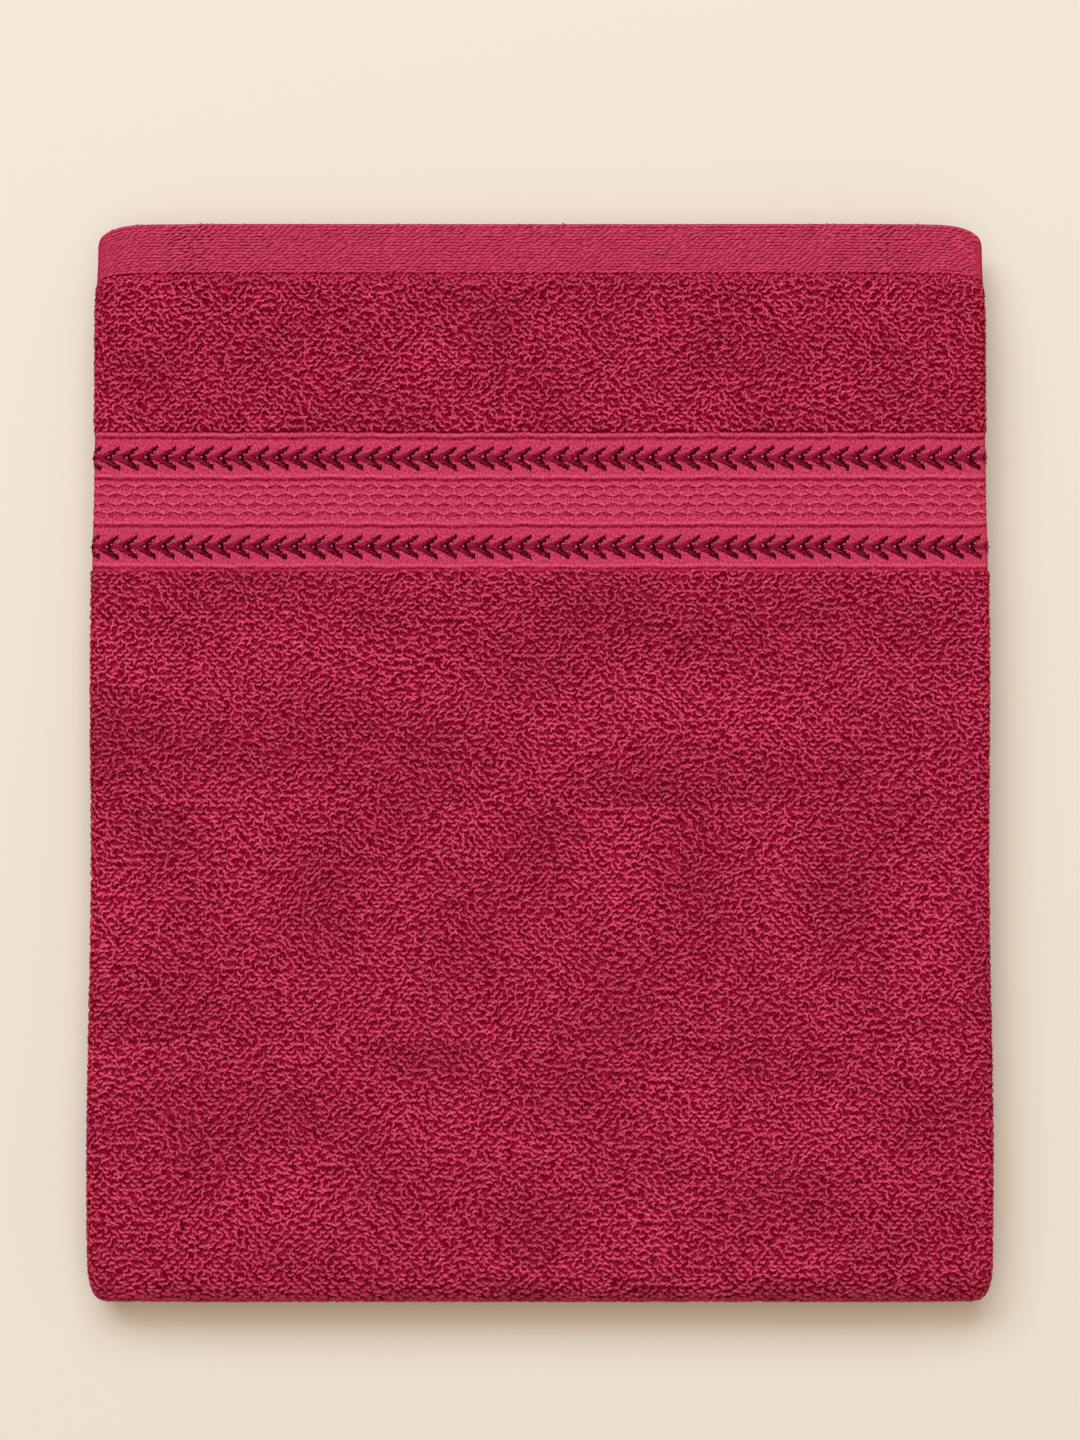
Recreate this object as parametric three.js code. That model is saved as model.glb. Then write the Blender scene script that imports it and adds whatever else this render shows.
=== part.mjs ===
// A folded bath towel, as one solid: both long edges are turned in to meet at the middle of the back,
// then the length is folded in three, with the last third tucked between the other two.
// Millimetres. +Z is up, +Y points to the hemmed end that lies on top, and the origin is under the middle
// of the stack, on the surface that it rests on.

import * as THREE from "three";

// Size of the folded stack
const FOLDED_LENGTH = 455.5;
const WIDTH_AT_LARGE_FOLD = 382.7;
const WIDTH_AT_HEM = 376.3;

// The cloth
const TERRY_THICKNESS = 4.0;
const FLAT_THICKNESS = 2.0;
const LAYER_GAP = 0.4;
const HEM_DEPTH = 21.6;
const BORDER_START = 87.6;
const BORDER_DEPTH = 58.0;
const PILE_EDGE = 2.4; // length over which the pile rises at the edge of a flat band

// The folds
const SMALL_FOLD_SETBACK = 3.0; // from the hem's edge back to the fold under it
const TUCKED_EDGE_CLEARANCE = 4.0; // from the inside of the large fold to the edge tucked into it
const FLAP_SPLIT = 3.0; // between the two turned-in edges

// How the ends and corners of the stack are drawn in and pressed down. setback is how far the cloth's side
// lies inside the pile's there, and pinch how far the sides are drawn in.
const HEM_CORNER = { reach: 25, setback: 1, depth: 10.5, power: 2.6, fade: 45, press: 0.12, pinch: 0.85 };
const FOLD_CORNER = { reach: 10, setback: 0, depth: 8.5, power: 2.4, fade: 30, press: 0.07 };
const PRESS_REACH = 56;
const HEM_DROOP = { share: 0.07, reach: 26 };
const SWELL = { share: 0.014, acrossWave: 290, alongWave: 370, phase: 1 };
const EDGE_WAVE = { height: 0.5, length: 210 };

// How finely the surfaces are divided
const ACROSS_SHARES = [0, 0.4, 0.7, 0.82, 0.88, 0.92, 0.955, 0.98, 1];
const SIDE_FOLD_STEPS = 5;
const CUT_PITCH = 40;
const LEAST_CUT_GAP = 5;

const COLOUR = "#a81f47";

// Worked out from the sizes above
const PANEL_THICKNESS = 2 * TERRY_THICKNESS + LAYER_GAP;
const PANEL_PITCH = PANEL_THICKNESS + LAYER_GAP;
const BOTTOM_PANEL_Z = PANEL_THICKNESS / 2;
const HEM_Y = FOLDED_LENGTH / 2;
const LARGE_FOLD_RADIUS = PANEL_PITCH;
const SMALL_FOLD_RADIUS = PANEL_PITCH / 2;
const LARGE_FOLD_Y = -HEM_Y + LARGE_FOLD_RADIUS + PANEL_THICKNESS / 2;
const SMALL_FOLD_Y = HEM_Y - SMALL_FOLD_SETBACK - SMALL_FOLD_RADIUS - PANEL_THICKNESS / 2;
const TOP_PANEL_Z = BOTTOM_PANEL_Z + 2 * LARGE_FOLD_RADIUS;
const TUCKED_PANEL_Z = BOTTOM_PANEL_Z + 2 * SMALL_FOLD_RADIUS;
const TUCKED_EDGE_Y = LARGE_FOLD_Y + TUCKED_EDGE_CLEARANCE;

const UP = Math.PI / 2;
const DOWN = -Math.PI / 2;
const TURN = 2 * Math.PI;
const clamp = THREE.MathUtils.clamp;
const ease = (share) => THREE.MathUtils.smoothstep(share, 0, 1);

// The path of the folded width, seen from the side: straight panels, and folds that are half circles.
// facing is the way the cloth's face looks where the leg starts, and inset is how far the leg's sides lie
// inside those of the top panel.
const PATH = [
  { panel: "top", from: HEM_Y, to: LARGE_FOLD_Y, z: TOP_PANEL_Z, facing: UP, inset: 0 },
  { fold: "large", y: LARGE_FOLD_Y, radius: LARGE_FOLD_RADIUS, steps: 10, facing: UP, inset: 0.6 },
  { panel: "bottom", from: LARGE_FOLD_Y, to: SMALL_FOLD_Y, z: BOTTOM_PANEL_Z, facing: DOWN, inset: 1.2 },
  { fold: "small", y: SMALL_FOLD_Y, radius: SMALL_FOLD_RADIUS, steps: 8, facing: DOWN, inset: 2.1 },
  { panel: "tucked", from: SMALL_FOLD_Y, to: TUCKED_EDGE_Y, z: TUCKED_PANEL_Z, facing: UP, inset: 3.0 },
];

const lengthOf = (leg) => (leg.panel ? Math.abs(leg.to - leg.from) : Math.PI * leg.radius);
const CLOTH_LENGTH = PATH.reduce((sum, leg) => sum + lengthOf(leg), 0);

// Thickness of one layer: pile everywhere but on the hem and the border, which each end of the cloth has.
function thicknessAt(alongCloth) {
  const fromEnd = Math.min(alongCloth, CLOTH_LENGTH - alongCloth);
  const past = (edge) => ease((fromEnd - edge) / PILE_EDGE + 0.5);
  const onBorder = past(BORDER_START) - past(BORDER_START + BORDER_DEPTH);
  const flatShare = 1 - past(HEM_DEPTH) + onBorder;
  return THREE.MathUtils.lerp(TERRY_THICKNESS, FLAT_THICKNESS, flatShare);
}

// Where a panel is cut into lengths: at its ends, where the pile starts and stops, and at even steps
// between them, which fall at the same y on every panel so that the layers stay parallel.
function panelCuts(leg, alongAtStart) {
  const length = lengthOf(leg);
  const pileEdges = [HEM_DEPTH, BORDER_START, BORDER_START + BORDER_DEPTH]
    .flatMap((edge) => [edge, CLOTH_LENGTH - edge])
    .flatMap((edge) => [edge - PILE_EDGE / 2, edge + PILE_EDGE / 2])
    .map((edge) => edge - alongAtStart)
    .filter((distance) => distance > 0 && distance < length);
  const fixed = [0, length, ...pileEdges];
  const evenCount = Math.floor(FOLDED_LENGTH / CUT_PITCH);
  const even = Array.from({ length: evenCount }, (_, index) => (index + 0.5) * CUT_PITCH - HEM_Y)
    .map((y) => (y - leg.from) * Math.sign(leg.to - leg.from))
    .filter((distance) => distance > 0 && distance < length)
    .filter((distance) => fixed.every((other) => Math.abs(other - distance) > LEAST_CUT_GAP));
  return [...fixed, ...even].sort((a, b) => a - b);
}

// Every cut along the cloth: its place on the path, the way its face looks, its thickness and its inset.
function cuts() {
  const found = [];
  let alongCloth = 0;
  PATH.forEach((leg, index) => {
    const before = PATH[index - 1] ?? leg;
    if (leg.panel) {
      const way = Math.sign(leg.to - leg.from);
      for (const distance of panelCuts(leg, alongCloth)) {
        found.push({
          y: leg.from + way * distance,
          z: leg.z,
          facing: leg.facing,
          thickness: thicknessAt(alongCloth + distance),
          inset: leg.inset,
        });
      }
    } else {
      // The fold's own ends are the panels' ends, so only the cuts between them are added.
      for (let step = 1; step < leg.steps; step++) {
        const facing = leg.facing + (step / leg.steps) * Math.PI;
        found.push({
          y: leg.y + leg.radius * Math.cos(facing),
          z: before.z + leg.radius * (Math.sin(facing) - Math.sin(leg.facing)),
          facing,
          thickness: TERRY_THICKNESS,
          inset: leg.inset,
        });
      }
    }
    alongCloth += lengthOf(leg);
  });
  return found;
}

// The outline of the folded width, as two lines of spots, one outside the cloth and one inside it. Each runs
// from the left flap's edge over the left fold, the face and the right fold to the right flap's edge.
// A spot's x runs across the stack and its y towards the cloth's face.
function crossSection(thickness, inset) {
  const halfWidth = WIDTH_AT_LARGE_FOLD / 2 - inset - (TERRY_THICKNESS - thickness) / 2;
  const foldX = halfWidth - thickness - LAYER_GAP / 2;
  const line = (height) => {
    const face = ACROSS_SHARES.map((share) => new THREE.Vector2(share * foldX, height));
    const flap = face.map(({ x }) => new THREE.Vector2(Math.max(x, FLAP_SPLIT / 2), -height)).reverse();
    const fold = Array.from({ length: SIDE_FOLD_STEPS - 1 }, (_, index) => {
      const angle = UP - ((index + 1) / SIDE_FOLD_STEPS) * Math.PI;
      return new THREE.Vector2(foldX + height * Math.cos(angle), height * Math.sin(angle));
    });
    const right = [...face, ...fold, ...flap];
    const left = right.slice(1).map(({ x, y }) => new THREE.Vector2(-x, y));
    return [...left.reverse(), ...right];
  };
  return { outside: line(thickness + LAYER_GAP / 2), inside: line(LAYER_GAP / 2) };
}

// How far a corner of the stack is drawn in from its straight end at this x.
function drawnIn(x, corner) {
  const start = WIDTH_AT_LARGE_FOLD / 2 - corner.reach;
  const into = clamp((Math.abs(x) - start) / (corner.reach - corner.setback), 0, 1);
  return corner.depth * (1 - (1 - into ** corner.power) ** (1 / corner.power));
}

// Settles a point of the neatly folded stack into the form in which it lies. No two layers can cross,
// because each coordinate only ever grows with itself.
function settle(point) {
  const fromHem = HEM_Y - point.y;
  const fromFold = HEM_Y + point.y;
  const fromSide = WIDTH_AT_LARGE_FOLD / 2 - Math.abs(point.x);
  const nearSide = 1 - ease(fromSide / PRESS_REACH);
  const nearHem = 1 - ease(fromHem / PRESS_REACH);
  const nearFold = 1 - ease(fromFold / PRESS_REACH);
  const acrossSwell = Math.cos((point.x / SWELL.acrossWave) * TURN);
  const alongSwell = Math.sin((point.y / SWELL.alongWave) * TURN + SWELL.phase);
  const pressed =
    nearSide * (nearHem * HEM_CORNER.press + nearFold * FOLD_CORNER.press) +
    HEM_DROOP.share * (1 - ease(fromHem / HEM_DROOP.reach)) +
    SWELL.share * (1 - acrossSwell * alongSwell);
  const hemCornerShare = 1 - ease(fromHem / HEM_CORNER.fade);
  const foldCornerShare = 1 - ease(fromFold / FOLD_CORNER.fade);
  const taper = THREE.MathUtils.lerp(WIDTH_AT_HEM, WIDTH_AT_LARGE_FOLD, clamp(fromHem / FOLDED_LENGTH, 0, 1));
  const wave = 2 * EDGE_WAVE.height * Math.sin((point.y / EDGE_WAVE.length) * TURN);
  const width = taper + wave - 2 * HEM_CORNER.pinch * hemCornerShare;
  const y =
    point.y - drawnIn(point.x, HEM_CORNER) * hemCornerShare + drawnIn(point.x, FOLD_CORNER) * foldCornerShare;
  return new THREE.Vector3((point.x * width) / WIDTH_AT_LARGE_FOLD, y, point.z * (1 - pressed));
}

// Joins the outlines at all the cuts into one closed surface, with an edge at each hem.
function towelGeometry() {
  const rings = cuts().map(({ y, z, facing, thickness, inset }) => {
    const { outside, inside } = crossSection(thickness, inset);
    return [...outside, ...inside.reverse()].map((spot) =>
      settle(new THREE.Vector3(spot.x, y + spot.y * Math.cos(facing), z + spot.y * Math.sin(facing))),
    );
  });
  const around = rings[0].length;
  const indices = [];
  const quad = (a, b, c, d) => indices.push(a, b, c, a, c, d);
  for (let ring = 0; ring < rings.length - 1; ring++) {
    for (let spot = 0; spot < around; spot++) {
      const here = ring * around + spot;
      const beside = ring * around + ((spot + 1) % around);
      quad(here, here + around, beside + around, beside);
    }
  }
  // Each hem's edge joins the outside line to the inside line, which runs back beside it.
  const lastRing = (rings.length - 1) * around;
  for (let spot = 0; spot < around / 2 - 1; spot++) {
    const opposite = around - 1 - spot;
    quad(spot, spot + 1, opposite - 1, opposite);
    quad(lastRing + spot, lastRing + opposite, lastRing + opposite - 1, lastRing + spot + 1);
  }
  const geometry = new THREE.BufferGeometry().setFromPoints(rings.flat());
  geometry.setIndex(indices);
  geometry.computeVertexNormals();
  return geometry;
}

const towel = new THREE.Mesh(
  towelGeometry(),
  new THREE.MeshStandardMaterial({ color: COLOUR, roughness: 0.95, metalness: 0 }),
);
towel.name = "towel";

const group = new THREE.Group();
group.add(towel);

export default group;
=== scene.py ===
# A folded terry bath towel, built as its maker builds it: a ground cloth with a hem and a woven border,
# arrowheads of raised yarn on the border, and a pile of single yarn loops. Everything is laid out on the
# open cloth first, and fold() then carries it to its place in the folded stack. Metres, in the frame's axes.
import math

import bpy
import numpy as np
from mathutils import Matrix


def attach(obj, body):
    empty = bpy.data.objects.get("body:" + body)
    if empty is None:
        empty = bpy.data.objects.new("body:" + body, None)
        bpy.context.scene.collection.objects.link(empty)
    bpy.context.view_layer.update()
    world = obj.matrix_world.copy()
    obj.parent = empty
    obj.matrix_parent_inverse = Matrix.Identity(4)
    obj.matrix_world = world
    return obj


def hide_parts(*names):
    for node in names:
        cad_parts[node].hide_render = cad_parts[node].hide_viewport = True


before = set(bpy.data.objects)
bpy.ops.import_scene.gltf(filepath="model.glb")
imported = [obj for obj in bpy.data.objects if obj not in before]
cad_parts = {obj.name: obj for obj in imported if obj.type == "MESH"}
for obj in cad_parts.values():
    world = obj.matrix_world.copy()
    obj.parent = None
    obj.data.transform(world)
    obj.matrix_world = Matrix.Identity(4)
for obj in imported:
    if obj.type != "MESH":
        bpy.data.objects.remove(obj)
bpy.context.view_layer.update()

MM = 0.001
UP = math.pi / 2
TURN = 2 * math.pi
SEED = 5107

# The folded stack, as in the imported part
FOLDED_LENGTH = 455.5 * MM
WIDTH_AT_LARGE_FOLD = 382.7 * MM
WIDTH_AT_HEM = 376.3 * MM
TERRY_THICKNESS = 4.0 * MM
FLAT_THICKNESS = 2.0 * MM
LAYER_GAP = 0.4 * MM
HEM_DEPTH = 21.6 * MM
BORDER_START = 87.6 * MM
BORDER_DEPTH = 58.0 * MM
PILE_EDGE = 2.4 * MM
SMALL_FOLD_SETBACK = 3.0 * MM
TUCKED_EDGE_CLEARANCE = 4.0 * MM
# How far the sides of the lower panels lie inside those of the top panel
BOTTOM_INSET = 1.2 * MM
TUCKED_INSET = 3.0 * MM
FLAP_SPLIT = 3.0 * MM
# A corner of the stack is drawn in by its depth, from its reach beside the stack's side to its setback, on a
# curve of this power. That fades along the stack, and the corner is pressed down by this share of its height.
HEM_CORNER = {
    "reach": 25 * MM,
    "setback": 1 * MM,
    "depth": 10.5 * MM,
    "power": 2.6,
    "fade": 45 * MM,
    "press": 0.12,
    "pinch": 0.85 * MM,
}
FOLD_CORNER = {
    "reach": 10 * MM,
    "setback": 0,
    "depth": 8.5 * MM,
    "power": 2.4,
    "fade": 30 * MM,
    "press": 0.07,
}
PRESS_REACH = 56 * MM
HEM_DROOP = {"share": 0.07, "reach": 26 * MM}
SWELL = {"share": 0.014, "across_wave": 290 * MM, "along_wave": 370 * MM, "phase": 1}
EDGE_WAVE = {"height": 0.5 * MM, "length": 210 * MM}

# The cloth itself: heights are measured from the middle of a layer
GROUND_HALF = 0.85 * MM
HEM_HALF = 1.0 * MM
BORDER_HALF = 0.5 * MM
PILE_TOP = 2.0 * MM
THINNEST_EDGE = 0.02
# Where the ground cloth is cut across: shares of its face and of its flap, and angles round its side fold
FACE_CUTS = np.concatenate([np.linspace(0, 0.86, 8)[:-1], 0.86 + 0.14 * np.linspace(0, 1, 9) ** 0.7])
SIDE_FOLD_CUTS = np.linspace(0, math.pi, 13)[1:]
FLAP_CUTS = np.array([0.02, 0.1, 0.35, 0.7, 0.99])
HEM_EDGE_CUTS = HEM_HALF * np.array([0, 0.15, 0.45, 1])

# A yarn's cross-section, and its painted light: a painted highlight along its top, painted shadow at its
# lower edge over a gap, and less painted shade at its lower edge against its neighbours. A hem float has
# painted shadow only in its middle, over a gap.
YARN_SIDES = 3
PILE_LIGHT = {"top": 0.97, "gap": -0.06, "neighbour": 0.76}
FLATTENED_LIGHT = {"top": 0.88, "gap": 0.45, "neighbour": 0.75}
HEM_LIGHT = {"top": 0.83, "gap": np.array([0.7, 0.0, 0.7]), "neighbour": 0.8}
# The side, across and along the cloth, away from the key light: a yarn's lower edge on this side lies over a
# gap and has painted shadow
PAINTED_SHADOW_SIDE = np.array([0.24, 0.97])

# The pile. A loop runs from root to root: its rings lie at these shares of its length, and the stretches
# between them have made these shares of its turn, which is in radians. Upturned loops bend the other way.
LOOP_PITCH = 3.4 * MM
ROW_PITCH = 1.8 * MM
LOOP_LENGTH = 4.7 * MM
LOOP_SHARES = np.array([0, 0.24, 0.5, 0.76, 1])
LOOP_BEND = np.array([0, 1 / 3, 2 / 3, 1])
LOOP_TURN = (1.9, 3.7)
UPTURNED_SHARE = 0.3
YARN_RADIUS = 1.22 * MM
YARN_SQUASH = 0.66
ROOT_RADIUS_SHARE = 0.72
CROWN_RADIUS_SHARE = 0.3
ROOT_DEPTH = 0.35 * MM
CROWN_CLEARANCE = 1.02
# How uneven the loops are: a drift changes slowly over the cloth, and a spread is from loop to loop
PLACE_SPREAD = {"across": 0.18, "along": 0.15}
HEADING = {"drift": 0.36, "wavelength": 34 * MM, "spread": 0.5}
LENGTH_SPREAD = (0.8, 1.15)
RADIUS_SPREAD = (0.88, 1.12)
TALLNESS = {"middle": 0.88, "drift": 0.08, "wavelength": 12 * MM, "spread": (-0.15, 0.12), "least": 0.3}
TONE = {"spread": 0.6, "drift": 1.1, "wavelength": 60 * MM}
# Loops flattened by the hem's seam, and the coarse loops of the underside, which the towel lies on
FLATTENED = {"length": 0.6, "tallness": 0.5}
UNDERSIDE_COARSENESS = 4.2
COARSE_RADIUS_POWER = 0.8
COARSE_CLEARANCE = 0.07
# How far the pile of the top reaches round the sides, and how far in the pile of the hidden layers starts
SIDE_WRAP = 6 * MM
RIM_DEPTH = 5 * MM

# The hem's weave and its seam
HEM_SEAM = 20.6 * MM
FLATTENED_PILE = 24.6 * MM
HEM_FLOAT = {
    "edge": 0.5 * MM,
    "side": 2.6 * MM,
    "row": 1.28 * MM,
    "pitch": 2.75 * MM,
    "length": 3.3 * MM,
    "radius": 1.1 * MM,
    "squash": 0.45,
    "slant": -0.2,
    "sunk": 0.12 * MM,
    "arch": 0.1 * MM,
}
HEM_SPREAD = {
    "across": 0.26,
    "along": 0.15,
    "slant": 0.16,
    "slant_drift": 0.14,
    "drift_wavelength": 26 * MM,
    "length": (0.8, 1.25),
    "height": 0.16 * MM,
    "tone": 0.7,
}
SEAM = {
    "step": 1.2 * MM,
    "offset": 0.35 * MM,
    "wave": 0.22 * MM,
    "wavelength": 7 * MM,
    "raised": 0.05 * MM,
    "radius": 0.34 * MM,
    "least_radius": 0.15 * MM,
    "thickening": 0.5,
    "thickening_wavelength": 9 * MM,
    "squash": 0.6,
}

# The woven border, by distance from the hem's edge
RIDGES = [88.9 * MM, 106.4 * MM, 126.0 * MM, 143.8 * MM]
GROOVES = [90.5 * MM, 107.9 * MM, 127.5 * MM, 145.2 * MM]
PILE_GROOVE = 87.4 * MM
FIGURE_ROWS = [98.7 * MM, 136.0 * MM]
PATTERN_PITCH = 7.98 * MM
PATTERN_PHASE = -0.85 * MM
CELLS = {"first_row": 111.5 * MM, "row": 3.81 * MM, "rows": 4, "early": 0.15, "peak": 1.4 * MM}
CELL_STEP = {"depth": 0.32 * MM, "fall": 0.3 * MM, "clear": 1.2 * MM}
TROUGH_GAP = 0.55 * MM
BORDER_TOP = 1.08 * MM
BORDER_BACK = 0.45 * MM
BORDER_OVERHANG = 2.2 * MM
BORDER_MARGIN = 0.8 * MM
BORDER_EDGE = {"fall": 0.4 * MM, "width": 0.5 * MM}
BORDER_WAVE = {"height": 0.2 * MM, "length": 18 * MM}
COLUMNS_A_CELL = 8
# The rows of the border's face at which its back is cut, from its far edge to its near one
BAND_BACK_ROWS = [-1, -4, -8, 50, 8, 4, 0]
# Soft lines of the border: how strong each is, how far beyond its middle it lies, and over what half width
RIDGE_RELIEF = (0.15 * MM, 0, 1.1 * MM)
GROOVE_RELIEF = (-0.12 * MM, 0, 1.3 * MM)
# The border's shades: painted shadow at the pile's edge and under each line of cells, painted shade in the
# grooves and on the cells' floors, and a painted highlight on the cells' lips
PILE_GROOVE_PAINTED_SHADOW = (-2.4, 0, 0.95 * MM)
RIDGE_SHADE = (0.3, 0, 0.9 * MM)
GROOVE_PAINTED_SHADE = (-0.7, 0, 1.1 * MM)
FIGURE_ROW_SHADE = (-0.9, 0.2 * MM, 1.7 * MM)
CELL_LINE_PAINTED_SHADOW = (-0.88, 0, 0.62 * MM)
CELL_LIP_PAINTED_HIGHLIGHT = (0.42, -0.85 * MM, 0.8 * MM)
CELL_GAP_SHADE = (0.45, 0, 1.2 * MM)
CELL_FLOOR_PAINTED_SHADE = (-0.3, 1.0 * MM, 1.2 * MM)

# An arrowhead, which points to the left: where its point, its tips and the inside of its corner lie from its
# knot, how far its two arms reach up and down, and how its inner edges start and slope
ARROW = {
    "point": -6.1 * MM,
    "tip": 5.0 * MM,
    "inside": 1.7 * MM,
    "arms": {-1: 5.0 * MM, 1: 5.35 * MM},
    "inner_start": 0.5 * MM,
    "inner_slope": 0.85,
    "wefts": 12,
    "weft_radius": 0.47 * MM,
    "height": 1.05 * MM,
    "arch": 0.12 * MM,
}
ARROW_SPREAD = {"place": 0.12 * MM, "ends": (0.22 * MM, 0.08 * MM), "radius": (0.8, 1.25), "tone": 0.12}
# How light each arm's yarn is from its outer to its inner edge, what its outer edge comes to at the point,
# and what is added at its tip
ARROW_TONES = {-1: [1.0, 0.78, -0.25], 1: [0.1, 0.85, -0.15]}
POINT_TONE = 1.05
TIP_TONE = -0.4
# Dark stitches beside the knot and at the lower barb, in millimetres right and up: from and to
ARROW_TIES = [(-1.3, 0.9, -1.3, -0.9), (1.4, 1.4, 1.5, -1.7), (4.8, -5.1, 4.9, -2.9), (3.8, -4.3, 3.9, -3.0)]
# The light stitches of an arrowhead in millimetres from its knot, right and up, with the knot first
ARROW_STITCHES = [(0.15, 0.0), (2.2, 1.0), (3.9, 2.3), (4.1, -2.4)]
KNOT = {
    "radius": 0.85 * MM,
    "end_share": 0.55,
    "lean": 0.2 * MM,
    "length": 0.7 * MM,
    "height": 1.25 * MM,
    "arch": 0.2 * MM,
    "rings": 4,
    "stitch_size": 0.7,
    "size_spread": (0.85, 1.2),
    "place_spread": 0.15 * MM,
}

# Colours, as stops of a value from 0 to 1 and its colour
# The yarn's colour by its painted light: near black red in painted shadow, up to pink in the painted
# highlight along its top
YARN_STOPS = [
    (0.28, (0.09, 0.0, 0.003)),
    (0.38, (0.26, 0.003, 0.024)),
    (0.48, (0.41, 0.011, 0.049)),
    (0.76, (0.54, 0.036, 0.092)),
    (1, (0.72, 0.11, 0.195)),
]
# The ground cloth under the pile is painted dark as shade, with lighter mottles for the lower loops
GROUND_STOPS = [(0.38, (0.17, 0.001, 0.01)), (0.64, (0.37, 0.012, 0.046))]
BORDER_STOPS = [
    (0, (0.17, 0.001, 0.012)),
    (0.4, (0.36, 0.014, 0.045)),
    (0.66, (0.545, 0.038, 0.098)),
    (1, (0.76, 0.10, 0.19)),
]
FIGURE_STOPS = [(0, (0.03, 0.0, 0.003)), (0.7, (0.24, 0.006, 0.034)), (1, (0.40, 0.022, 0.07))]
FLAT_CLOTH_COLOUR = (0.42, 0.025, 0.07)
# The seam's strand is painted shade: the dark of the groove along the seam
SEAM_SHADE_COLOUR = (0.16, 0.001, 0.012)
KNOT_COLOUR = (0.78, 0.1, 0.175)
FLOOR_COLOUR = (0.838, 0.735, 0.63)
WORLD_COLOUR = (1.0, 0.95, 0.88)
SHEEN_COLOUR = (1.0, 0.15, 0.28)
# Unevenness of the yarns' colours: the size of its swells, and how strong it is
YARN_SPECKLE = {"size": 0.8 * MM, "strength": 0.55}
FIGURE_SPECKLE = {"size": 0.7 * MM, "strength": 1.2}
GROUND_MOTTLE_SIZE = 1.7 * MM
PLAIN_MOTTLE_SIZE = 2.0 * MM
TONE_STRENGTH = 0.09
TONE_LIMIT = 2
BORDER_SHAKE = {"across": 2.2 * MM, "strength": 1.1 * MM}
BORDER_GRAIN = {"across": 0.75 * MM, "along": 1.15 * MM, "strength": 1.9, "relief": 0.3 * MM}
BORDER_PATCHES = {"across": 2.6 * MM, "along": 2.0 * MM, "strength": 2.4, "least": -0.2}
CELL_RIBS = {"across": 1.7 * MM, "along": 0.7 * MM, "strength": 1.5, "before": 2.5 * MM, "fade": 2 * MM}

# The stage: the photo's rows and the one across the towel's middle, where its scale holds, and the lights
PHOTO_PIXEL = 0.4233 * MM
PHOTO_HEIGHT = 1440
PHOTO_TOWEL_MIDDLE = 764.5
SCALE_PLANE = 14 * MM
LENS = 85.0
SENSOR = 36.0
FLOOR_REACH = 40.0
WORLD_STRENGTH = 0.31
KEY_LIGHT = {"place": (-1.25, 4.2, 4.5), "size": (6.6, 3.0), "power": 378, "colour": (0.74, 0.89, 1.0)}
OVERHEAD_LIGHT = {"place": (0, 0, 4.5), "size": (4.5, 4.5), "power": 80, "colour": (1.0, 0.83, 0.58)}

# The bake maps: margins, strips for the ground cloth's two ends, and a yarn's sides and ends in its own cell
BAND_UV = {"across": (0.02, 0.98), "along": (0.01, 0.99), "ends": (0.004, 0.996), "end_bulge": 0.008}
GROUND_UV = {"across": (0.01, 0.99), "start": 0.01, "length": 0.96, "strip": (0.975, 0.98), "pitch": 0.01}
YARN_UV = {
    "across": (0.1, 0.9),
    "along": (0.15, 0.85),
    "ends": np.array([[[0.1, 0.12], [0.5, 0.05], [0.9, 0.12]], [[0.9, 0.88], [0.5, 0.95], [0.1, 0.88]]]),
}

# Worked out from the sizes above
HALF_WIDTH = WIDTH_AT_LARGE_FOLD / 2
BORDER_END = BORDER_START + BORDER_DEPTH
PANEL_HALF = TERRY_THICKNESS + LAYER_GAP / 2
PANEL_PITCH = 2 * PANEL_HALF + LAYER_GAP
HEM_Y = FOLDED_LENGTH / 2
LARGE_FOLD_RADIUS = PANEL_PITCH
SMALL_FOLD_RADIUS = PANEL_PITCH / 2
LARGE_FOLD_Y = -HEM_Y + LARGE_FOLD_RADIUS + PANEL_HALF
SMALL_FOLD_Y = HEM_Y - SMALL_FOLD_SETBACK - SMALL_FOLD_RADIUS - PANEL_HALF
TUCKED_EDGE_Y = LARGE_FOLD_Y + TUCKED_EDGE_CLEARANCE
BOTTOM_PANEL_Z = PANEL_HALF
TOP_PANEL_Z = BOTTOM_PANEL_Z + 2 * LARGE_FOLD_RADIUS
TUCKED_PANEL_Z = BOTTOM_PANEL_Z + 2 * SMALL_FOLD_RADIUS


# The folded path


def panel(y_from, y_to, z, facing):
    """A straight leg of the path, at this height."""
    way = np.sign(y_to - y_from)
    return {"length": abs(y_to - y_from), "y": y_from, "way": way, "z": z, "facing": facing}


def half_turn(y, z, radius, facing):
    """A fold of the path about its centre. Its length is measured on the outside of the panel."""
    return {"length": math.pi * (radius + PANEL_HALF), "y": y, "z": z, "radius": radius, "facing": facing}


PATH = [
    panel(HEM_Y, LARGE_FOLD_Y, TOP_PANEL_Z, UP),
    half_turn(LARGE_FOLD_Y, BOTTOM_PANEL_Z + LARGE_FOLD_RADIUS, LARGE_FOLD_RADIUS, UP),
    panel(LARGE_FOLD_Y, SMALL_FOLD_Y, BOTTOM_PANEL_Z, -UP),
    half_turn(SMALL_FOLD_Y, BOTTOM_PANEL_Z + SMALL_FOLD_RADIUS, SMALL_FOLD_RADIUS, -UP),
    panel(SMALL_FOLD_Y, TUCKED_EDGE_Y, TUCKED_PANEL_Z, UP),
]
STARTS = np.concatenate([[0], np.cumsum([leg["length"] for leg in PATH])])
LARGE_FOLD_START, BOTTOM_START, SMALL_FOLD_START, TUCKED_START, CLOTH_LENGTH = STARTS[1:]


def ease(share):
    """A soft step from 0 to 1."""
    share = share.clip(0, 1)
    return share * share * (3 - 2 * share)


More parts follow.
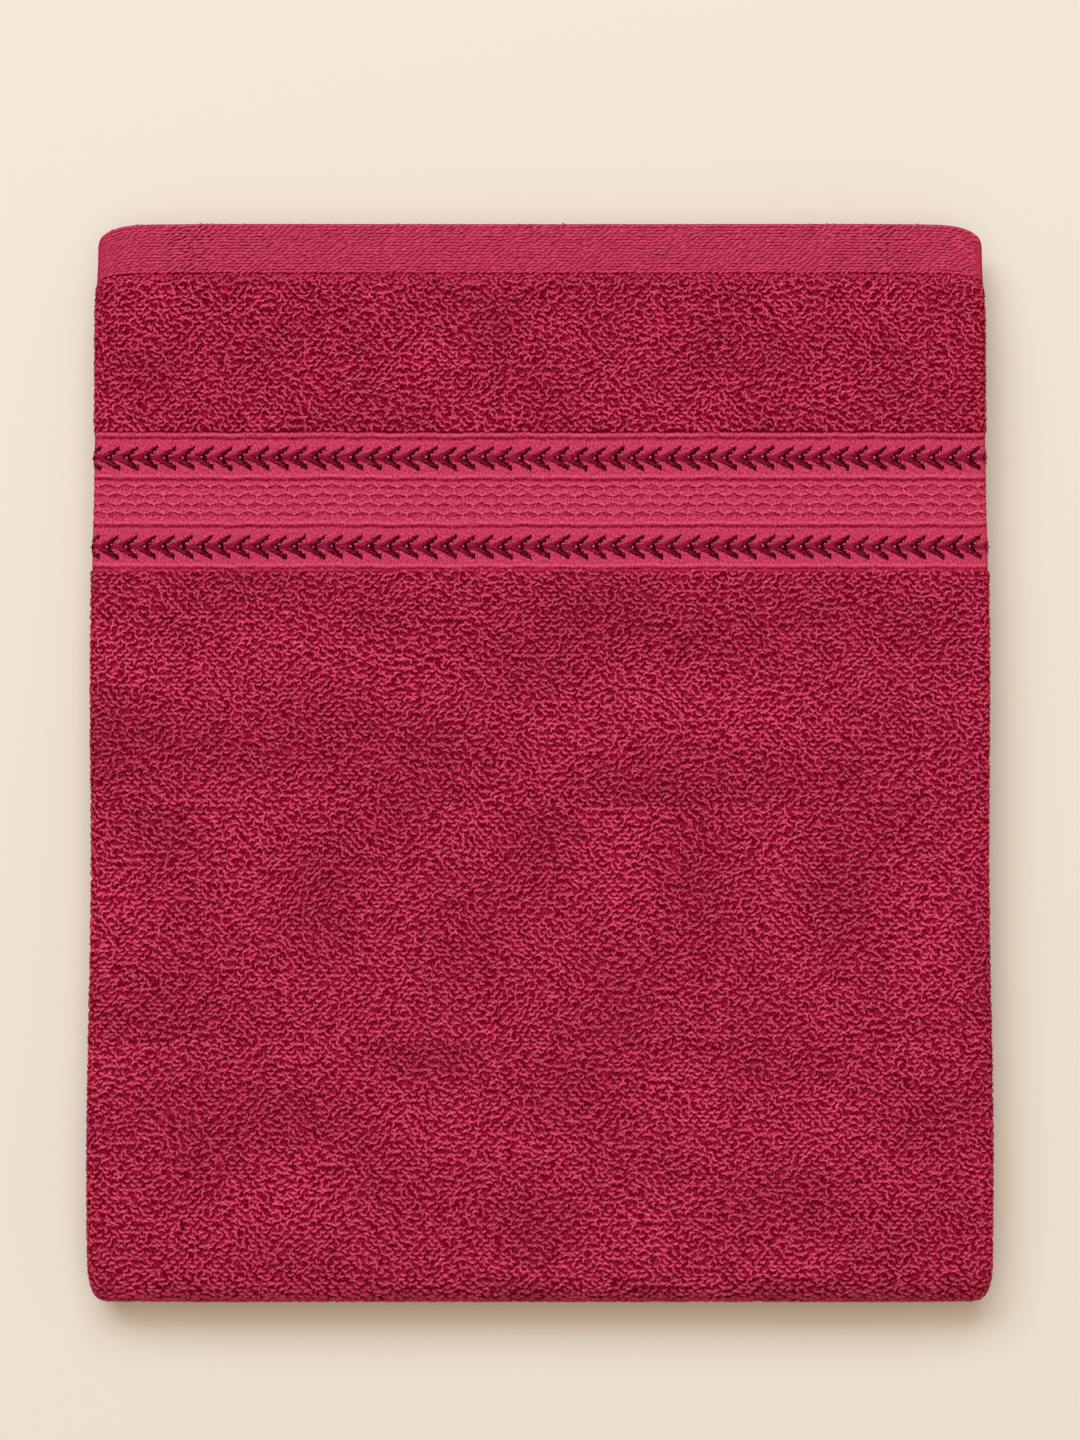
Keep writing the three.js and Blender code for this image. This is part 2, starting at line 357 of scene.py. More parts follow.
def flat_share(along):
    """1 on the hem and the border, which each end of the cloth has, and 0 on the pile."""
    from_end = np.minimum(along, CLOTH_LENGTH - along)

    def past(edge):
        return ease((from_end - edge) / PILE_EDGE + 0.5)

    return 1 - past(HEM_DEPTH) + past(BORDER_START) - past(BORDER_END)


def spine(along):
    """The path's y and z, the way the face looks and the inset, at these distances along the cloth."""
    y, z, facing = (np.zeros_like(along) for _ in range(3))
    for leg, start in zip(PATH, STARTS):
        on = (along >= start) if start else np.ones(along.shape, bool)
        distance = along[on] - start
        if "radius" in leg:
            turned = leg["facing"] + distance / (leg["radius"] + PANEL_HALF)
            y[on] = leg["y"] + leg["radius"] * np.cos(turned)
            z[on] = leg["z"] + leg["radius"] * np.sin(turned)
            facing[on] = turned
        else:
            y[on] = leg["y"] + leg["way"] * distance
            z[on] = leg["z"]
            facing[on] = leg["facing"]
    fold_edges = [LARGE_FOLD_START, BOTTOM_START, SMALL_FOLD_START, TUCKED_START]
    inset = np.interp(along, fold_edges, [0, BOTTOM_INSET, BOTTOM_INSET, TUCKED_INSET])
    return y, z, facing, inset


def side_fold(along, inset):
    """Where the side fold starts across the cloth, its outer radius, and the radius of the cloth's middle."""
    thickness = TERRY_THICKNESS + (FLAT_THICKNESS - TERRY_THICKNESS) * flat_share(along)
    outer = thickness + LAYER_GAP / 2
    half_width = HALF_WIDTH - inset - (TERRY_THICKNESS - thickness) / 2
    return half_width - outer, outer, (thickness + LAYER_GAP) / 2


def drawn_in(x, corner):
    """How far a corner of the stack is drawn in from its straight end at this x."""
    start = HALF_WIDTH - corner["reach"]
    into = np.clip((np.abs(x) - start) / (corner["reach"] - corner["setback"]), 0, 1)
    return corner["depth"] * (1 - (1 - into ** corner["power"]) ** (1 / corner["power"]))


def settle(x, y, z):
    """Settles a point of the neatly folded stack into the form in which it lies."""
    from_hem = HEM_Y - y
    from_fold = HEM_Y + y
    near_side = 1 - ease((HALF_WIDTH - np.abs(x)) / PRESS_REACH)
    near_hem = 1 - ease(from_hem / PRESS_REACH)
    near_fold = 1 - ease(from_fold / PRESS_REACH)
    across_swell = np.cos(x / SWELL["across_wave"] * TURN)
    along_swell = np.sin(y / SWELL["along_wave"] * TURN + SWELL["phase"])
    pressed = (
        near_side * (near_hem * HEM_CORNER["press"] + near_fold * FOLD_CORNER["press"])
        + HEM_DROOP["share"] * (1 - ease(from_hem / HEM_DROOP["reach"]))
        + SWELL["share"] * (1 - across_swell * along_swell)
    )
    taper = WIDTH_AT_HEM + (WIDTH_AT_LARGE_FOLD - WIDTH_AT_HEM) * np.clip(from_hem / FOLDED_LENGTH, 0, 1)
    wave = 2 * EDGE_WAVE["height"] * np.sin(y / EDGE_WAVE["length"] * TURN)
    by_hem_corner = 1 - ease(from_hem / HEM_CORNER["fade"])
    by_fold_corner = 1 - ease(from_fold / FOLD_CORNER["fade"])
    width = taper + wave - 2 * HEM_CORNER["pinch"] * by_hem_corner
    settled_y = y - drawn_in(x, HEM_CORNER) * by_hem_corner + drawn_in(x, FOLD_CORNER) * by_fold_corner
    return x * width / WIDTH_AT_LARGE_FOLD, settled_y, z * (1 - pressed)


def fold(across, along, height):
    """The places in the folded stack of spots on the open cloth.

    across is the distance from the middle of the cloth and along the distance from the top hem's edge, both
    measured on the outside of the folds, and height is the distance from the middle of the layer."""
    across, along, height = (np.asarray(value, float) for value in np.broadcast_arrays(across, along, height))
    y, z, facing, inset = spine(along)
    fold_x, outer, middle = side_fold(along, inset)
    beyond = np.abs(across) - fold_x
    angle = np.clip(beyond / outer, 0, math.pi)
    on_flap = np.maximum(beyond - math.pi * outer, 0)
    radius = middle + height
    x = np.minimum(np.abs(across), fold_x) + radius * np.sin(angle)
    x = np.maximum(x - on_flap, np.minimum(x, FLAP_SPLIT / 2)) * np.sign(across)
    lift = radius * np.cos(angle)
    return np.stack(settle(x, y + lift * np.cos(facing), z + lift * np.sin(facing)), -1)


def drift(across, along, wavelength, rng, waves=10):
    """Smooth seeded unevenness over the cloth, mostly between -1 and 1."""
    total = np.zeros(np.broadcast(across, along).shape)
    for _ in range(waves):
        heading, phase = rng.uniform(0, TURN, 2)
        length = wavelength * rng.uniform(0.6, 1.6)
        total += np.sin((across * math.cos(heading) + along * math.sin(heading)) / length * TURN + phase)
    return total / math.sqrt(waves)


def spaced(stops, end):
    """Distances up to but not at the end. Each stop is where a stretch starts, and how wide its steps are."""
    starts, pitches = zip(*stops)
    stretches = []
    for start, stop, pitch in zip(starts, [*starts[1:], end], pitches):
        stretches.append(np.linspace(start, stop, max(2, round((stop - start) / pitch) + 1))[:-1])
    return np.concatenate(stretches)


# Meshes


def add_object(name, data):
    """A thing in the scene that shows this mesh, light or camera."""
    thing = bpy.data.objects.new(name, data)
    bpy.context.scene.collection.objects.link(thing)
    return thing


def make_piece(name, points, *face_groups, flat=None):
    """A mesh from arrays: its points, and groups of faces that have equally many corners. It is smooth, apart
    from the faces that flat marks."""
    mesh = bpy.data.meshes.new(name)
    corners = np.concatenate([group.ravel() for group in face_groups])
    counts = np.concatenate([np.full(len(group), group.shape[1]) for group in face_groups])
    mesh.vertices.add(len(points))
    mesh.vertices.foreach_set("co", np.asarray(points, np.float32).ravel())
    mesh.loops.add(len(corners))
    mesh.loops.foreach_set("vertex_index", corners.astype(np.int32))
    mesh.polygons.add(len(counts))
    mesh.polygons.foreach_set("loop_start", (np.cumsum(counts) - counts).astype(np.int32))
    mesh.polygons.foreach_set("use_smooth", np.ones(len(counts), bool) if flat is None else ~flat)
    mesh.update(calc_edges=True)
    return add_object(name, mesh)


def tube_faces(rings, sides):
    """The faces between rings of points that follow one another, each ring with this many points."""
    ring = np.arange(rings - 1)[:, None] * sides
    here = np.arange(sides)
    beside = (here + 1) % sides
    corners = [ring + here, ring + sides + here, ring + sides + beside, ring + beside]
    return np.stack(corners, -1).reshape(-1, 4)


def grid_uv(u, v):
    """The places in a UV map of the four corners of each face of a grid, row by row."""
    corner = np.stack(np.meshgrid(u, v), -1)
    return np.stack([corner[:-1, :-1], corner[1:, :-1], corner[1:, 1:], corner[:-1, 1:]], 2)


def add_uv(piece, name, places):
    """A UV map from one place for each corner of each face."""
    layer = piece.data.uv_layers.new(name=name)
    layer.uv.foreach_set("vector", np.asarray(places, np.float32).ravel())


def add_values(piece, name, values):
    """A number for each point of the piece, which its material reads by name."""
    layer = piece.data.attributes.new(name, "FLOAT", "POINT")
    layer.data.foreach_set("value", np.asarray(values, np.float32).ravel())


def make_band(name, across, along, face_height, back_height):
    """A closed strip of the folded cloth on a grid. Its back has only some of the rows of its face."""
    face = fold(across, along, face_height)
    back = fold(across[BAND_BACK_ROWS], along[BAND_BACK_ROWS], back_height)
    ring = np.concatenate([face, back])
    rows, columns = ring.shape[:2]
    here = np.arange(rows)[:, None] * columns
    after = (np.arange(rows)[:, None] + 1) % rows * columns
    spot = np.arange(columns - 1)
    skin = np.stack([here + spot, after + spot, after + spot + 1, here + spot + 1], -1).reshape(-1, 4)
    left = (np.arange(rows) * columns)[None, ::-1]
    right = left[:, ::-1] + columns - 1
    piece = make_piece(name, ring.reshape(-1, 3), skin, left, right)
    v = np.linspace(*BAND_UV["along"], rows + 1)
    skin_uv = grid_uv(np.linspace(*BAND_UV["across"], columns), v).reshape(-1, 2)
    bulge = BAND_UV["end_bulge"] * (v[:-1] - 0.5) ** 2
    left_uv = np.stack([BAND_UV["ends"][0] + bulge, v[:-1]], 1)[::-1]
    right_uv = np.stack([BAND_UV["ends"][1] - bulge, v[:-1]], 1)
    add_uv(piece, "OFBake", np.concatenate([skin_uv, left_uv, right_uv]))
    return piece


# Ground cloth


def ground_half(along):
    """Half the thickness of the ground cloth, with a round edge at each hem."""
    from_end = np.minimum(along, CLOTH_LENGTH - along)
    on_hem = 1 - ease((from_end - HEM_DEPTH) / PILE_EDGE + 0.5)
    on_border = flat_share(along) - on_hem
    into = np.clip(from_end / HEM_HALF, 0, 1)
    edge = np.sqrt(np.maximum(1 - (1 - into) ** 2, THINNEST_EDGE))
    half = GROUND_HALF + (HEM_HALF - GROUND_HALF) * on_hem + (BORDER_HALF - GROUND_HALF) * on_border
    return half * edge


def ground_rows():
    """Distances along the cloth at which the ground cloth is cut: close together at edges and folds."""
    step = PILE_EDGE / 2
    stops = [
        (HEM_HALF, 4 * MM),
        (HEM_DEPTH - PILE_EDGE, PILE_EDGE / 1.5),
        (HEM_DEPTH + PILE_EDGE, 9 * MM),
        (BORDER_START - step, step),
        (BORDER_START + step, 8 * MM),
        (BORDER_END - step, step),
        (BORDER_END + step, 12 * MM),
        (LARGE_FOLD_START, 3.5 * MM),
        (BOTTOM_START, 16 * MM),
        (SMALL_FOLD_START, 3 * MM),
        (TUCKED_START, 16 * MM),
        (CLOTH_LENGTH - HEM_DEPTH, 4 * MM),
    ]
    last = CLOTH_LENGTH - HEM_EDGE_CUTS[::-1]
    return np.concatenate([HEM_EDGE_CUTS[:-1], spaced(stops, last[0]), last])


def ground_columns(along):
    """Distances across the cloth at which each of its rows is cut: its face, its side folds and its flaps."""
    fold_x, outer, _ = side_fold(along, spine(along)[3])
    fold_x, outer = fold_x[:, None], outer[:, None]
    flap = fold_x + math.pi * outer + FLAP_CUTS * fold_x
    right = np.concatenate([FACE_CUTS * fold_x, fold_x + SIDE_FOLD_CUTS * outer, flap], 1)
    return np.concatenate([-right[:, :0:-1], right], 1)


def make_ground():
    """The folded sheet itself, as one closed mesh: its face side, its back and its two hem edges."""
    along = ground_rows()
    across = ground_columns(along)
    rows, columns = across.shape
    half = ground_half(along)[:, None]
    face_side = fold(across, along[:, None], half)
    back_side = fold(across, along[:, None], -half)[:, ::-1]
    around = 2 * columns
    points = np.concatenate([face_side, back_side], 1).reshape(-1, 3)
    spot = np.arange(columns - 1)
    first = np.stack([spot, spot + 1, around - 2 - spot, around - 1 - spot], 1)
    last = (rows - 1) * around + first[:, ::-1]
    piece = make_piece("towel_ground", points, tube_faces(rows, around), first, last)
    v = GROUND_UV["start"] + GROUND_UV["length"] * along / CLOTH_LENGTH
    skin_uv = grid_uv(np.linspace(*GROUND_UV["across"], around + 1), v).reshape(-1, 2)
    strip_u = np.linspace(*GROUND_UV["across"], columns)
    low, high = (np.stack([strip_u, np.full(columns, strip_v)], 1) for strip_v in GROUND_UV["strip"])
    first_uv = np.stack([low[:-1], low[1:], high[1:], high[:-1]], 1).reshape(-1, 2)
    last_uv = np.stack([high[:-1], high[1:], low[1:], low[:-1]], 1).reshape(-1, 2)
    add_uv(piece, "OFBake", np.concatenate([skin_uv, first_uv, last_uv + [0, GROUND_UV["pitch"]]]))
    flat_rows = np.repeat(flat_share((along[1:] + along[:-1]) / 2) > 0.5, around)
    flat_faces = np.concatenate([flat_rows, np.ones(2 * len(spot), bool)])
    piece.data.polygons.foreach_set("material_index", flat_faces.astype(np.int32))
    return piece


# Yarns that lie on or stand out of the ground cloth


def make_strands(name, centre, radius, tone, rise=1.0, squash=1.0, light=PILE_LIGHT):
    """Closed three-sided yarns, each along a row of points (across, along, height) on the open cloth.

    They are smooth over the top and flat below. Their value painted_light is painted light and shade: that of
    light, times rise, so it darkens towards the roots. tone is a number for each yarn, or for each of its
    points."""
    count, rings = centre.shape[:2]
    forward = np.gradient(centre, axis=1)
    forward /= np.linalg.norm(forward, axis=-1, keepdims=True)
    side = np.stack([-forward[..., 1], forward[..., 0], np.zeros((count, rings))], -1)
    side /= np.maximum(np.linalg.norm(side, axis=-1, keepdims=True), 1e-9)
    out = np.cross(forward, side) * squash
    angles = UP + np.arange(YARN_SIDES) * TURN / YARN_SIDES
    ring = np.cos(angles)[:, None] * side[..., None, :] + np.sin(angles)[:, None] * out[..., None, :]
    spots = centre[..., None, :] + radius[..., None, None] * ring
    points = fold(spots[..., 0], spots[..., 1], spots[..., 2]).reshape(-1, 3)
    around = np.arange(YARN_SIDES)
    ends = np.stack([around, (rings - 1) * YARN_SIDES + around[::-1]])
    first = np.arange(count)[:, None, None] * rings * YARN_SIDES
    tubes = (first + tube_faces(rings, YARN_SIDES)).reshape(-1, 4)
    below = np.tile(around == 1, count * (rings - 1))
    flat = np.concatenate([below, np.ones(2 * count, bool)])
    piece = make_piece(name, points, tubes, (first + ends).reshape(-1, YARN_SIDES), flat=flat)
    add_values(piece, "tone", np.broadcast_to(tone.reshape(count, -1, 1), (count, rings, YARN_SIDES)))
    # Painted light: a painted highlight along the top, and painted shadow on the lower edge away from the key
    # light
    toward_painted_shadow = side[..., :2] @ PAINTED_SHADOW_SIDE
    gap, neighbour = light["gap"], light["neighbour"]
    left_foot, right_foot = (gap + (neighbour - gap) * (1 + way * toward_painted_shadow) / 2 for way in (1, -1))
    painted_light = np.stack([np.full(toward_painted_shadow.shape, light["top"]), left_foot, right_foot], -1)
    add_values(piece, "painted_light", np.asarray(rise)[..., None] * painted_light)
    cells = math.ceil(math.sqrt(count))
    cell = np.stack([np.arange(count) % cells, np.arange(count) // cells], -1)[:, None, None, :]
    u = np.linspace(*YARN_UV["across"], YARN_SIDES + 1)
    v = np.linspace(*YARN_UV["along"], rings)
    parts = [grid_uv(u, v).reshape(-1, 4, 2), YARN_UV["ends"]]
    add_uv(piece, "OFBake", np.concatenate([((cell + part) / cells).reshape(-1, 2) for part in parts]))
    return piece


# Pile


def shaken_places(places, share, pitch, rng):
    """Places that lie this pitch apart, each moved by up to this share of it."""
    return places + rng.uniform(-share, share, places.shape) * pitch


def loop_spots(across_range, along_range, rng, coarse):
    """Places of the loops on a brick lattice, each moved a little."""
    pitch, row_pitch = LOOP_PITCH * coarse, ROW_PITCH * coarse
    rows = max(1, round((along_range[1] - along_range[0]) / row_pitch))
    columns = max(1, round((across_range[1] - across_range[0]) / pitch))
    row, column = np.mgrid[:rows, :columns]
    across = across_range[0] + (column + 0.25 + 0.5 * (row % 2)) * pitch
    along = along_range[0] + (row + 0.5) * (along_range[1] - along_range[0]) / rows
    across = shaken_places(across, PLACE_SPREAD["across"], pitch, rng)
    along = shaken_places(along, PLACE_SPREAD["along"], row_pitch, rng)
    return across.ravel(), along.ravel()


def make_loops(name, across, along, rng, coarse, light):
    """One short yarn at each spot, which rises from one root, bends to a side and ends at its other root."""
    count = len(across)
    heading = HEADING["drift"] * drift(across, along, HEADING["wavelength"], rng)
    heading += rng.normal(0, HEADING["spread"], count)
    turn = np.where(rng.uniform(size=count) < UPTURNED_SHARE, 1, -1) * rng.uniform(*LOOP_TURN, count)
    from_seam = [HEM_SEAM, FLATTENED_PILE]
    length = LOOP_LENGTH * coarse * rng.uniform(*LENGTH_SPREAD, count)
    length *= np.interp(along, from_seam, [FLATTENED["length"], 1])
    radius = YARN_RADIUS * coarse**COARSE_RADIUS_POWER * rng.uniform(*RADIUS_SPREAD, count)
    tallness = TALLNESS["middle"] + TALLNESS["drift"] * drift(across, along, TALLNESS["wavelength"], rng)
    tallness = np.clip(tallness + rng.uniform(*TALLNESS["spread"], count), TALLNESS["least"], 1)
    tallness *= np.interp(along, from_seam, [FLATTENED["tallness"], 1])
    way = heading[:, None] + turn[:, None] * (LOOP_BEND - 0.5)
    step = length[:, None] * np.diff(LOOP_SHARES)
    start = np.zeros((count, 1))
    run_across = np.concatenate([start, np.cumsum(np.cos(way) * step, 1)], 1)
    run_along = np.concatenate([start, np.cumsum(np.sin(way) * step, 1)], 1)
    # The loop rises from its roots to its crown, and by the same share its painted light darkens towards the
    # roots
    rise = np.sin(math.pi * np.clip(LOOP_SHARES, 0.03, 0.97)) ** 0.5
    root = GROUND_HALF - ROOT_DEPTH
    clearance = CROWN_CLEARANCE + COARSE_CLEARANCE * (coarse - 1)
    highest = PILE_TOP - YARN_SQUASH * radius * clearance
    crown = np.minimum(root + (highest - root) * tallness, highest)
    ring_across = across[:, None] + run_across - run_across.mean(1, keepdims=True)
    ring_along = along[:, None] + run_along - run_along.mean(1, keepdims=True)
    centre = np.stack([ring_across, ring_along, root + (crown[:, None] - root) * rise], -1)
    thick = radius[:, None] * (ROOT_RADIUS_SHARE + CROWN_RADIUS_SHARE * np.sin(math.pi * LOOP_SHARES))
    tone = rng.normal(0, TONE["spread"], count)
    tone += TONE["drift"] * drift(across, along, TONE["wavelength"], rng)
    rise = np.broadcast_to(rise, thick.shape)
    return make_strands(name, centre, thick, tone, rise, YARN_SQUASH, light)


def make_pile():
    """All the loops: dense wherever they show, and wider apart on the underside."""
    rng = np.random.default_rng(SEED)
    wrap = HALF_WIDTH + SIDE_WRAP
    rim = HALF_WIDTH - RIM_DEPTH
    whole = (-wrap, wrap)
    upper, middle, lower, face_end = np.linspace(BORDER_END, LARGE_FOLD_START, 4)
    bottom = (BOTTOM_START, SMALL_FOLD_START)
    tucked = (TUCKED_START, CLOTH_LENGTH - BORDER_END)
    # The name of each region, its range across and along, and how coarse its loops are
    regions = [
        ("at_seam", whole, (HEM_SEAM + 0.8 * MM, FLATTENED_PILE), 0.7),
        ("by_hem", whole, (FLATTENED_PILE - 0.6 * MM, BORDER_START - 0.1 * MM), 1),
        ("face_upper", whole, (upper + 0.5 * MM, middle), 1),
        ("face_middle", whole, (middle, lower), 1),
        ("face_lower", whole, (lower, face_end), 1),
        ("large_fold", whole, (LARGE_FOLD_START, BOTTOM_START), 1.1),
        ("small_fold", whole, (SMALL_FOLD_START, TUCKED_START), 1.15),
        ("bottom_left", (-wrap, -rim), bottom, 1.1),
        ("bottom_right", (rim, wrap), bottom, 1.1),
        ("tucked_left", (-wrap + TUCKED_INSET, -rim), tucked, 1.1),
        ("tucked_right", (rim, wrap - TUCKED_INSET), tucked, 1.1),
        ("underside", (-rim, rim), bottom, UNDERSIDE_COARSENESS),
    ]
    pieces = []
    for name, across_range, along_range, coarse in regions:
        light = FLATTENED_LIGHT if name == "at_seam" else PILE_LIGHT
        across, along = loop_spots(across_range, along_range, rng, coarse)
        pieces.append(make_loops(f"pile_{name}", across, along, rng, coarse, light))
    return pieces


# Hem


def make_hem_floats():
    """The hem's weave: short flat floats over the top panel's hem, slanted one way or the other."""
    rng = np.random.default_rng(SEED + 1)
    reach = HALF_WIDTH - HEM_FLOAT["side"]
    rows = round((HEM_SEAM - HEM_FLOAT["edge"]) / HEM_FLOAT["row"])
    columns = int(2 * reach / HEM_FLOAT["pitch"])
    row, column = np.mgrid[:rows, :columns]
    across = ((column + row % 2 / 2 + 0.25) * HEM_FLOAT["pitch"] - reach).ravel()
    along = (HEM_FLOAT["edge"] + (row + 0.5) * HEM_FLOAT["row"]).ravel()
    count = len(across)
    across = shaken_places(across, HEM_SPREAD["across"], HEM_FLOAT["pitch"], rng)
    along = shaken_places(along, HEM_SPREAD["along"], HEM_FLOAT["row"], rng)
    share = np.array([-0.5, 0, 0.5])
    slant_drift = HEM_SPREAD["slant_drift"] * drift(across, along, HEM_SPREAD["drift_wavelength"], rng)
    heading = HEM_FLOAT["slant"] + slant_drift + rng.normal(0, HEM_SPREAD["slant"], count)
    run = HEM_FLOAT["length"] * rng.uniform(*HEM_SPREAD["length"], count)[:, None] * share
    arch = 1 - (2 * share) ** 2
    level = HEM_HALF - HEM_FLOAT["sunk"] + rng.uniform(0, HEM_SPREAD["height"], count)[:, None]
    ring_across = across[:, None] + np.cos(heading)[:, None] * run
    ring_along = along[:, None] + np.sin(heading)[:, None] * run
    centre = np.stack([ring_across, ring_along, level + HEM_FLOAT["arch"] * arch], -1)
    radius = HEM_FLOAT["radius"] * (0.7 + 0.3 * arch) * np.ones((count, 1))
    tone = rng.normal(0, HEM_SPREAD["tone"], count)
    return make_strands("hem_floats", centre, radius, tone, squash=HEM_FLOAT["squash"], light=HEM_LIGHT)


def make_seam():
    """The slightly wavy seam at the foot of the hem: a dark strand that is painted shade in the seam's
    groove.
    """
    rng = np.random.default_rng(SEED + 4)
    reach = HALF_WIDTH
    across = np.arange(-reach, reach, SEAM["step"])
    along = HEM_SEAM + SEAM["offset"] + SEAM["wave"] * drift(across, 0 * across, SEAM["wavelength"], rng)
    centre = np.stack([across, along, np.full(len(across), HEM_HALF + SEAM["raised"])], -1)[None]
    thickening = SEAM["thickening"] * drift(across, 0 * across, SEAM["thickening_wavelength"], rng)
    radius = np.maximum(SEAM["radius"] * (1 + thickening), SEAM["least_radius"])[None]
    return make_strands("hem_seam", centre, radius, np.zeros(1), rise=0.0, squash=SEAM["squash"])


# Border


def bump(distance, half_width):
    """1 in the middle of a line and 0 beyond its half width."""
    return ease(1 - abs(distance) / half_width)


def soft_line(distance, strength, beyond, half_width):
    """A soft line of this strength beyond a place that lies at this distance."""
    return strength * bump(distance - beyond, half_width)


def cell_place(across, along):
    """Where a spot lies in the rows of woven cells, each of which hangs from a zigzag line: how far below the
    nearest line, how near one of its peaks from 0 to 1, and how far beside one of its troughs."""
    row = (along - CELLS["first_row"]) / CELLS["row"]
    line = (row + CELLS["early"]).round().clip(0, CELLS["rows"] - 1)
    beside = (across - PATTERN_PHASE) / PATTERN_PITCH + line * 0.5
    near_peak = 1 - abs(beside - beside.round()) * 2
    below = (row - line) * CELLS["row"] + near_peak * CELLS["peak"]
    return below, near_peak, near_peak * (PATTERN_PITCH / 2)


def border_height(across, along):
    """The height of the woven border's surface over the middle of the cloth."""
    height = np.full(across.shape, BORDER_TOP)
    for ridge, groove in zip(RIDGES, GROOVES):
        height += soft_line(along - ridge, *RIDGE_RELIEF) + soft_line(along - groove, *GROOVE_RELIEF)
    below, _, _ = cell_place(across, along)
    fallen = ease(below / CELL_STEP["fall"])
    risen = ease((below - CELL_STEP["fall"]) / (CELLS["row"] - CELL_STEP["clear"]))
    return height - CELL_STEP["depth"] * fallen * (1 - risen)


def border_shade(across, along):
    """How light or dark the border's yarn is painted: painted shadow at the pile's edge and under each line
    of cells, painted shade in the grooves and on the cells' floors, painted highlights on the lips of the
    cells, a darker yarn behind the arrowheads, and lighter on the ridges and at the gaps in the troughs."""
    shade = soft_line(along - PILE_GROOVE, *PILE_GROOVE_PAINTED_SHADOW)
    for ridge, groove in zip(RIDGES, GROOVES):
        shade = shade + soft_line(along - ridge, *RIDGE_SHADE) + soft_line(along - groove, *GROOVE_PAINTED_SHADE)
    for row in FIGURE_ROWS:
        shade = shade + soft_line(along - row, *FIGURE_ROW_SHADE)
    below, near_peak, beside_trough = cell_place(across, along)
    gap = bump(beside_trough, TROUGH_GAP)
    shade = shade + soft_line(below, *CELL_LINE_PAINTED_SHADOW) * (1 - 0.5 * near_peak) * (1 - gap)
    shade = shade + soft_line(below, *CELL_LIP_PAINTED_HIGHLIGHT) * (1 - 0.7 * near_peak)
    shade = shade + soft_line(below, *CELL_GAP_SHADE) * gap
    return shade + soft_line(below, *CELL_FLOOR_PAINTED_SHADE) * near_peak


def border_rows():
    """Distances along the cloth at which the border's mesh is cut: close together at its lines and cells."""
    end = BORDER_END + BORDER_MARGIN
    stops = [
        (BORDER_START - BORDER_MARGIN, 0.4 * MM),
        (GROOVES[0] + 0.9 * MM, 2.4 * MM),
        (RIDGES[1] - 1.1 * MM, 0.45 * MM),
        (GROOVES[1] + 0.5 * MM, 0.5 * MM),
        (RIDGES[2] - 0.5 * MM, 0.45 * MM),
        (GROOVES[2] + 0.9 * MM, 2.4 * MM),
        (RIDGES[3] - 1.1 * MM, 0.4 * MM),
    ]
    return np.append(spaced(stops, end), end)


def make_border():
    """The woven border of the top panel, with its ridges, grooves and cells. Its UV map "cloth" gives the
    place of each spot on the open cloth, which its material draws the weave by."""
    rng = np.random.default_rng(SEED + 2)
    reach = HALF_WIDTH + BORDER_OVERHANG
    columns = round(2 * reach / (PATTERN_PITCH / COLUMNS_A_CELL))
    across, along = np.meshgrid(np.linspace(-reach, reach, columns + 1), border_rows())
    wavy = along + BORDER_WAVE["height"] * drift(across, 0 * along, BORDER_WAVE["length"], rng)
    edge = bump(along - along[0], BORDER_EDGE["width"]) + bump(along - along[-1], BORDER_EDGE["width"])
    height = border_height(across, wavy) - BORDER_EDGE["fall"] * edge
    piece = make_band("border_weave", across, along, height, BORDER_BACK)
    corner_points = np.empty(len(piece.data.loops), np.int32)
    piece.data.loops.foreach_get("vertex_index", corner_points)
    flat = np.stack([across, wavy], -1)
    flat = np.concatenate([flat, flat[BAND_BACK_ROWS]]).reshape(-1, 2)
    add_uv(piece, "cloth", flat[corner_points])
    return piece


# Arrowheads


def arrow_floats():
    """The ends of an arrowhead's floats from its knot, arm by arm, and how light each is along its length."""
    floats, tones = [], []
    for way, reach in ARROW["arms"].items():
        outer_tone, *inner_tones = ARROW_TONES[way]
        for weft in range(ARROW["wefts"]):
            share = (weft + 0.5) / ARROW["wefts"]
            pair_share = (weft // 2 * 2 + 0.5) / ARROW["wefts"]
            up = way * share * reach
            outer = ARROW["point"] + (ARROW["tip"] - ARROW["point"]) * share
            inner = ARROW["inside"] + max(pair_share * reach - ARROW["inner_start"], 0) / ARROW["inner_slope"]
            floats.append((outer, up, min(inner, ARROW["tip"]), up))
            tone = np.array([outer_tone + (POINT_TONE - outer_tone) * (1 - share) ** 2, *inner_tones])
            tones.append(tone + TIP_TONE * share**2)
    for right_from, up_from, right_to, up_to in ARROW_TIES:
        floats.append((right_from * MM, -up_from * MM, right_to * MM, -up_to * MM))
        tones.append([0, 0, 0])
    return np.array(floats), np.array(tones)


def make_arrowheads(places, rng):
    """The arrowheads at these places, of raised dark yarn."""
    floats, tones = arrow_floats()
    share = np.linspace(0, 1, 3)
    ends = places[:, None, None, :] + floats.reshape(1, -1, 2, 2)
    for axis, spread in enumerate(ARROW_SPREAD["ends"]):
        ends[..., axis] += rng.normal(0, spread, ends.shape[:3])
    start, end = ends[:, :, 0], ends[:, :, 1]
    flat = start[..., None, :] + (end - start)[..., None, :] * share[:, None]
    arch = 1 - (2 * share - 1) ** 2
    height = np.broadcast_to(ARROW["height"] + ARROW["arch"] * arch, flat.shape[:3])
    centre = np.concatenate([flat, height[..., None]], -1).reshape(-1, 3, 3)
    spread = rng.uniform(*ARROW_SPREAD["radius"], flat.shape[:3])
    radius = (ARROW["weft_radius"] * spread * (0.75 + 0.25 * arch)).reshape(-1, 3)
    tone = (tones + rng.normal(0, ARROW_SPREAD["tone"], flat.shape[:3])).reshape(-1, 3)
    return make_strands("arrowhead_yarn", centre, radius, tone)


